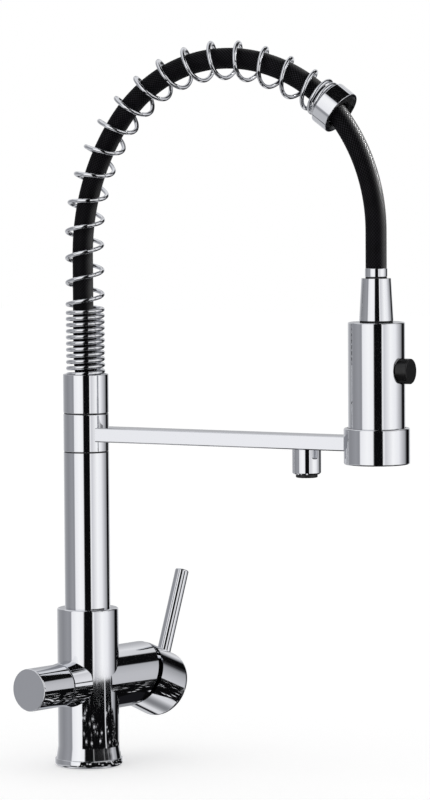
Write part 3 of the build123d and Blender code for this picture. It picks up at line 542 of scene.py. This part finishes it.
world = bpy.data.worlds.new("studio")
scene.world = world
world.use_nodes = True
sky = world.node_tree
sky.nodes.clear()
facing = node(sky, "ShaderNodeTexCoord").outputs["Generated"]
parts = node(sky, "ShaderNodeSeparateXYZ", {"Vector": facing})
turn = node(sky, "ShaderNodeMath", {0: parts.outputs["Y"], 1: parts.outputs["X"]},
            operation="ARCTAN2")
# the angle to the right of the direction from the tap to the camera
camera_way = math.atan2(-math.cos(azimuth), math.sin(azimuth))
relative = node(sky, "ShaderNodeMath", {0: turn.outputs["Value"], 1: camera_way},
                operation="SUBTRACT")
wrapped = node(sky, "ShaderNodeMath", {0: relative.outputs["Value"], 1: math.pi, 2: -math.pi},
               operation="WRAP")
share = node(sky, "ShaderNodeMapRange", {
    "Value": wrapped.outputs["Value"], "From Min": -math.pi, "From Max": math.pi}).outputs["Result"]
height = node(sky, "ShaderNodeMath", {0: parts.outputs["Z"]}, operation="ARCSINE")
rise = node(sky, "ShaderNodeMapRange", {
    "Value": height.outputs["Value"], "From Min": -math.pi / 2,
    "From Max": math.pi / 2}).outputs["Result"]
panels = ramp(sky, share, [
    (-180, "#A8A9AC"), (-166, "#D2D2D5"), (-150, "#B4B5B8"), (-133, "#97989B"), (-106, "#898A8E"),
    (-80, "#96979B"), (-65, "#8E8F93"), (-61, "#EDEDEF"), (-36, "#FAFAFA"), (-16, "#F2F2F3"),
    (-11, "#0B0B0C"), (4, "#161617"), (9, "#29292B"), (12, "#050505"), (16, "#0C0C0D"),
    (20, "#FBFBFB"), (28, "#CECED1"), (56, "#FAFAFA"), (80, "#EEEEF0"), (95, "#C9C9CC"),
    (114, "#98999C"), (121, "#333335"), (128, "#080809"), (144, "#0A0A0B"), (151, "#A4A5A8"),
    (160, "#DCDCDE"), (180, "#A8A9AC")], -180, 180)
cover = ramp(sky, rise, [
    (-90, "#6E6F72"), (-66, "#77787B"), (-58, "#DADADC"), (-50, "#DADADC"), (-46, "#17171A"),
    (-20, "#17171A"), (-17, "#FFFFFF"), (36, "#FFFFFF"), (44, "#D8D9DC"), (90, "#C4C5C8")],
    -90, 90)
inside = ramp(sky, rise, [(-90, 0.0), (-19, 0.0), (-17, 1.0), (36, 1.0), (42, 0.0), (90, 0.0)],
              -90, 90)
room = node(sky, "ShaderNodeMix", {
    "Factor_Float": inside, "A_Color": cover, "B_Color": panels},
    data_type="RGBA").outputs["Result"]
# cards in front of the room: left, right, low and high edge in degrees, and colour
cards = [
    (-180, -70, -38, -19, "#B9BABD"),
    (162, 180, -48, -19, "#8E8F92"),
    (104, 133, 27, 46, "#0B0B0C"),
    (20, 60, 5.6, 12, "#121213"),
    (60, 78, 4.6, 10, "#121213"),
    (78, 96, 3.9, 8, "#121213"),
    (-22, 160, 47, 88, "#0B0B0C"),
    (-12, 19, -88, 88, "#0B0B0C"),
]
for left, right_end, low, high, code in cards:
    sides = ramp(sky, share, [(-180, 0.0), (left - 1, 0.0), (left + 1, 1.0),
                              (right_end - 1, 1.0), (right_end + 1, 0.0), (180, 0.0)], -180, 180)
    ends = ramp(sky, rise, [(-90, 0.0), (low - 1, 0.0), (low + 1, 1.0), (high - 1, 1.0),
                            (high + 1, 0.0), (90, 0.0)], -90, 90)
    both = node(sky, "ShaderNodeMath", {0: sides, 1: ends}, operation="MULTIPLY")
    room = node(sky, "ShaderNodeMix", {
        "Factor_Float": both.outputs["Value"], "A_Color": room, "B_Color": linear(code)},
        data_type="RGBA").outputs["Result"]
rays = node(sky, "ShaderNodeLightPath")
shine = node(sky, "ShaderNodeBackground", {"Color": room, "Strength": 1.18})
soft = node(sky, "ShaderNodeBackground", {"Color": linear("#FFFFFF"), "Strength": 0.75})
white = node(sky, "ShaderNodeBackground", {"Color": linear("#FFFFFF"), "Strength": 1.0})
lighting = node(sky, "ShaderNodeMixShader", {
    0: rays.outputs["Is Glossy Ray"], 1: soft.outputs["Background"], 2: shine.outputs["Background"]})
seen = node(sky, "ShaderNodeMixShader", {
    0: rays.outputs["Is Camera Ray"], 1: lighting.outputs["Shader"], 2: white.outputs["Background"]})
node(sky, "ShaderNodeOutputWorld", {"Surface": seen.outputs["Shader"]})


# A lamp behind the tap's right side that lights the two hoses alone, for the rows of glints on
# their braid.

strip = bpy.data.lights.new("braid_lamp", "AREA")
strip.shape = "RECTANGLE"
strip.size, strip.size_y, strip.energy = 0.3, 0.8, 165.0
lamp_turn, lamp_rise, lamp_reach = math.radians(110), 0.5, 1.5
lamp = bpy.data.objects.new("braid_lamp", strip)
lamp_way = Vector((math.cos(camera_way + lamp_turn), math.sin(camera_way + lamp_turn),
                   lamp_rise)).normalized()
hose_middle = Vector((0.15, 0, 0.45))
lamp.matrix_world = Matrix.Translation(hose_middle + lamp_way * lamp_reach) @ \
    lamp_way.to_track_quat("Z", "Y").to_matrix().to_4x4()
scene.collection.objects.link(lamp)
lit_pieces = bpy.data.collections.new("braid_lamp_lights")
for piece in (arch_hose, free_hose):
    lit_pieces.objects.link(piece)
lamp.light_linking.receiver_collection = lit_pieces
lamp.visible_diffuse = False


# The worktop: a plain pale floor that takes the soft shadow. The chrome doesn't see it.

def sheet(name, outline, height, finish):
    """A flat stage sheet with this outline, at a height."""
    mesh = bpy.data.meshes.new(name)
    mesh.from_pydata([(x, y, height) for x, y in outline], [], [range(len(outline))])
    made = bpy.data.objects.new(name, mesh)
    mesh.materials.append(finish)
    scene.collection.objects.link(made)
    made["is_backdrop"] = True
    return made


pale, tree = material("worktop_pale")
shader = node(tree, "ShaderNodeBsdfDiffuse", {"Color": linear("#F2F2F2")})
glow = node(tree, "ShaderNodeEmission", {"Color": linear("#FFFFFF"), "Strength": 0.35})
both = node(tree, "ShaderNodeAddShader", {0: shader.outputs["BSDF"], 1: glow.outputs["Emission"]})
node(tree, "ShaderNodeOutputMaterial", {"Surface": both.outputs["Shader"]})
half = 6
worktop = sheet("worktop", [(-half, -half), (half, -half), (half, half), (-half, half)], 0, pale)
worktop.visible_glossy = False


# A black card with white flecks lies on the worktop beside the tap, where only the chrome sees
# it: the body, the lever's housing and its cap are dark and flecked there in the photograph.

flecked, tree = material("black_card_flecked")
place = node(tree, "ShaderNodeTexCoord").outputs["Object"]
split = node(tree, "ShaderNodeSeparateXYZ", {"Vector": place})
swing = node(tree, "ShaderNodeMath", {0: split.outputs["Y"], 1: split.outputs["X"]},
             operation="ARCTAN2")
swing = node(tree, "ShaderNodeMath", {0: swing.outputs["Value"], 1: camera_way},
             operation="SUBTRACT")
swing = node(tree, "ShaderNodeMath", {0: swing.outputs["Value"], 1: math.pi, 2: -math.pi},
             operation="WRAP").outputs["Value"]
away = node(tree, "ShaderNodeVectorMath", {0: place}, operation="LENGTH").outputs["Value"]
# flecks in cells of 16 degrees by 26 mm for the body, and of 9 mm for its foot and the lever
cell = node(tree, "ShaderNodeCombineXYZ", {
    "X": node(tree, "ShaderNodeMath", {0: swing, 1: 1 / math.radians(16)},
              operation="MULTIPLY").outputs["Value"],
    "Y": node(tree, "ShaderNodeMath", {0: away, 1: 1 / (26 * mm)},
              operation="MULTIPLY").outputs["Value"]}).outputs["Vector"]
wide = node(tree, "ShaderNodeTexVoronoi", {"Vector": cell, "Scale": 1.0})
small = node(tree, "ShaderNodeTexVoronoi", {"Vector": place, "Scale": 1 / (9 * mm)})
beside = node(tree, "ShaderNodeMath", {0: swing, 1: math.radians(95)}, operation="GREATER_THAN")
under = node(tree, "ShaderNodeMath", {0: away, 1: 115 * mm}, operation="LESS_THAN")
which = node(tree, "ShaderNodeMath", {0: beside.outputs["Value"], 1: under.outputs["Value"]},
             operation="MAXIMUM")
spots = node(tree, "ShaderNodeMix", {
    "Factor_Float": which.outputs["Value"], "A_Float": wide.outputs["Distance"],
    "B_Float": small.outputs["Distance"]})
dots = ramp(tree, spots.outputs["Result"], [(0, 1.0), (0.19, 1.0), (0.27, 0.0), (1, 0.0)], 0, 1)
some = node(tree, "ShaderNodeTexNoise", {"Vector": cell, "Scale": 0.6, "Detail": 2.0})
near = node(tree, "ShaderNodeMapRange", {
    "Value": away, "From Min": 40 * mm, "From Max": 420 * mm, "To Min": 0.22, "To Max": -0.06})
thick = node(tree, "ShaderNodeMath", {0: some.outputs["Fac"], 1: near.outputs["Result"]},
             operation="ADD")
few = ramp(tree, thick.outputs["Value"], [(0, 0.0), (0.5, 0.0), (0.56, 1.0), (1, 1.0)], 0, 1)
fleck = node(tree, "ShaderNodeMath", {0: dots, 1: few}, operation="MULTIPLY")
slit = ramp(tree, node(tree, "ShaderNodeMapRange", {
    "Value": swing, "From Min": 0.0, "From Max": math.pi}).outputs["Result"],
    [(0, 0.0), (62.5, 0.0), (64, 1.0), (66, 1.0), (67.5, 0.0), (180, 0.0)], 0, 180)
bright = node(tree, "ShaderNodeMath", {0: fleck.outputs["Value"], 1: slit}, operation="MAXIMUM")
colour = node(tree, "ShaderNodeMix", {
    "Factor_Float": bright.outputs["Value"], "A_Color": linear("#0B0B0C"),
    "B_Color": linear("#F4F4F6")}, data_type="RGBA")
glow = node(tree, "ShaderNodeEmission", {"Color": colour.outputs["Result"], "Strength": 1.0})
node(tree, "ShaderNodeOutputMaterial", {"Surface": glow.outputs["Emission"]})
# angle from the camera's side, and the card's nearest and farthest radius there
edges = [(-21, 26, 520), (94, 26, 520), (96, 26, 330), (104, 26, 330), (110, 40, 260),
         (113, 113, 230), (120, 112, 150), (126, 102, 138), (133, 97, 132), (150, 94, 125)]
card_height = 0.4 * mm
angles = np.arange(-21, 150.5, 3)
close, far = (np.interp(angles, [e[0] for e in edges], [e[k] for e in edges]) for k in (1, 2))
outline = [(r * mm * math.cos(camera_way + math.radians(a)),
            r * mm * math.sin(camera_way + math.radians(a)))
           for a, r in [*zip(angles, far), *zip(angles[::-1], close[::-1])]]
card = sheet("black_card", outline, card_height, flecked)
card.visible_camera = card.visible_diffuse = card.visible_shadow = False
card.visible_transmission = card.visible_volume_scatter = False

scene.view_settings.view_transform = "Standard"
low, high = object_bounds()
